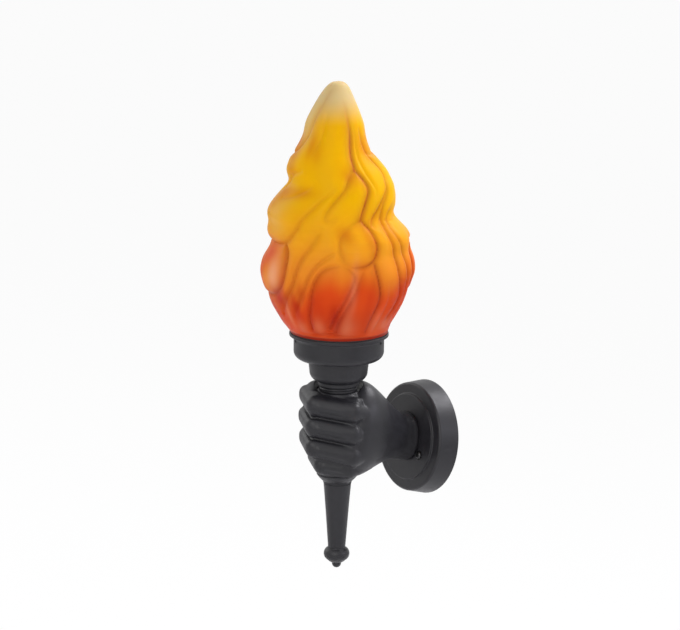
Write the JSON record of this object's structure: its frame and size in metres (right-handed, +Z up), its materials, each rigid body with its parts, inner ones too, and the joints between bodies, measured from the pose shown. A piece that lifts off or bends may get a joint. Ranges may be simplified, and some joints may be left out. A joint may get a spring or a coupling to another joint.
{
  "type": "wall light",
  "caption": "Wall torch light: a round plate carries a clenched hand that grips a leaning torch with a flame-shaped glass over a screw lampholder.",
  "frame": {"origin": "centre of the wall plate's back face, on the wall", "axes": "+Y into the wall, +Z up, +X to the right of someone who faces the wall; the back of the hand is toward +X"},
  "size_m": [0.1501, 0.2079, 0.4962],
  "materials": {
    "black_coat": "fine textured matt black coat over cast metal",
    "zinc_steel": "zinc plated",
    "brass": "plain turned brass",
    "dark_steel": "blackened",
    "black_rubber": "matt",
    "black_resin": "satin",
    "porcelain": "glazed",
    "white_plastic": "satin",
    "brown_lead": "satin",
    "blue_lead": "satin",
    "green_lead": "satin",
    "flame_glass": "satin etched glass, yellow at the top shading to red at the foot"
  },
  "bodies": {
    "torch": {"wall_plate": "black_coat", "wall_strap": "zinc_steel", "turn_strap": "zinc_steel", "strap_rivet": "zinc_steel", "plate_screws": "dark_steel", "arm_nipple": "brass", "arm_washer": "zinc_steel", "arm_nut": "brass", "hand": "black_coat", "torch_tube": "brass", "torch_handle": "black_coat", "finial": "black_coat", "neck_spool": "black_coat", "lower_cup": "black_coat", "gallery": "black_coat", "gasket_ring": "black_rubber", "tube_washer": "zinc_steel", "tube_nut": "brass", "holder_cap": "black_resin", "holder_body": "porcelain", "holder_shell": "brass", "holder_contact": "brass", "terminal_block": "white_plastic", "terminal_screws": "brass", "earth_screw": "brass", "lead_live": "brown_lead", "lead_neutral": "blue_lead", "lead_earth": "green_lead"},
    "glass": {"glass_neck": "flame_glass", "flame_glass": "flame_glass"},
    "screw_1": {"gallery_screw_1": "dark_steel"},
    "screw_2": {"gallery_screw_2": "dark_steel"},
    "screw_3": {"gallery_screw_3": "dark_steel"}
  },
  "joints": [
    {"name": "glass_lift", "type": "slide", "parent": "torch", "child": "glass", "axis": [0, -0.1219, 0.9925], "range_m": [0, 0.15]},
    {"name": "screw_1_back_out", "type": "slide", "parent": "torch", "child": "screw_1", "axis": [0.831, 0.5521, 0.0678], "range_m": [0, 0.003]},
    {"name": "screw_2_back_out", "type": "slide", "parent": "torch", "child": "screw_2", "axis": [-0.2622, -0.9578, -0.1176], "range_m": [0, 0.003]},
    {"name": "screw_3_back_out", "type": "slide", "parent": "torch", "child": "screw_3", "axis": [-0.8121, 0.5792, 0.0711], "range_m": [0, 0.003]}
  ]
}
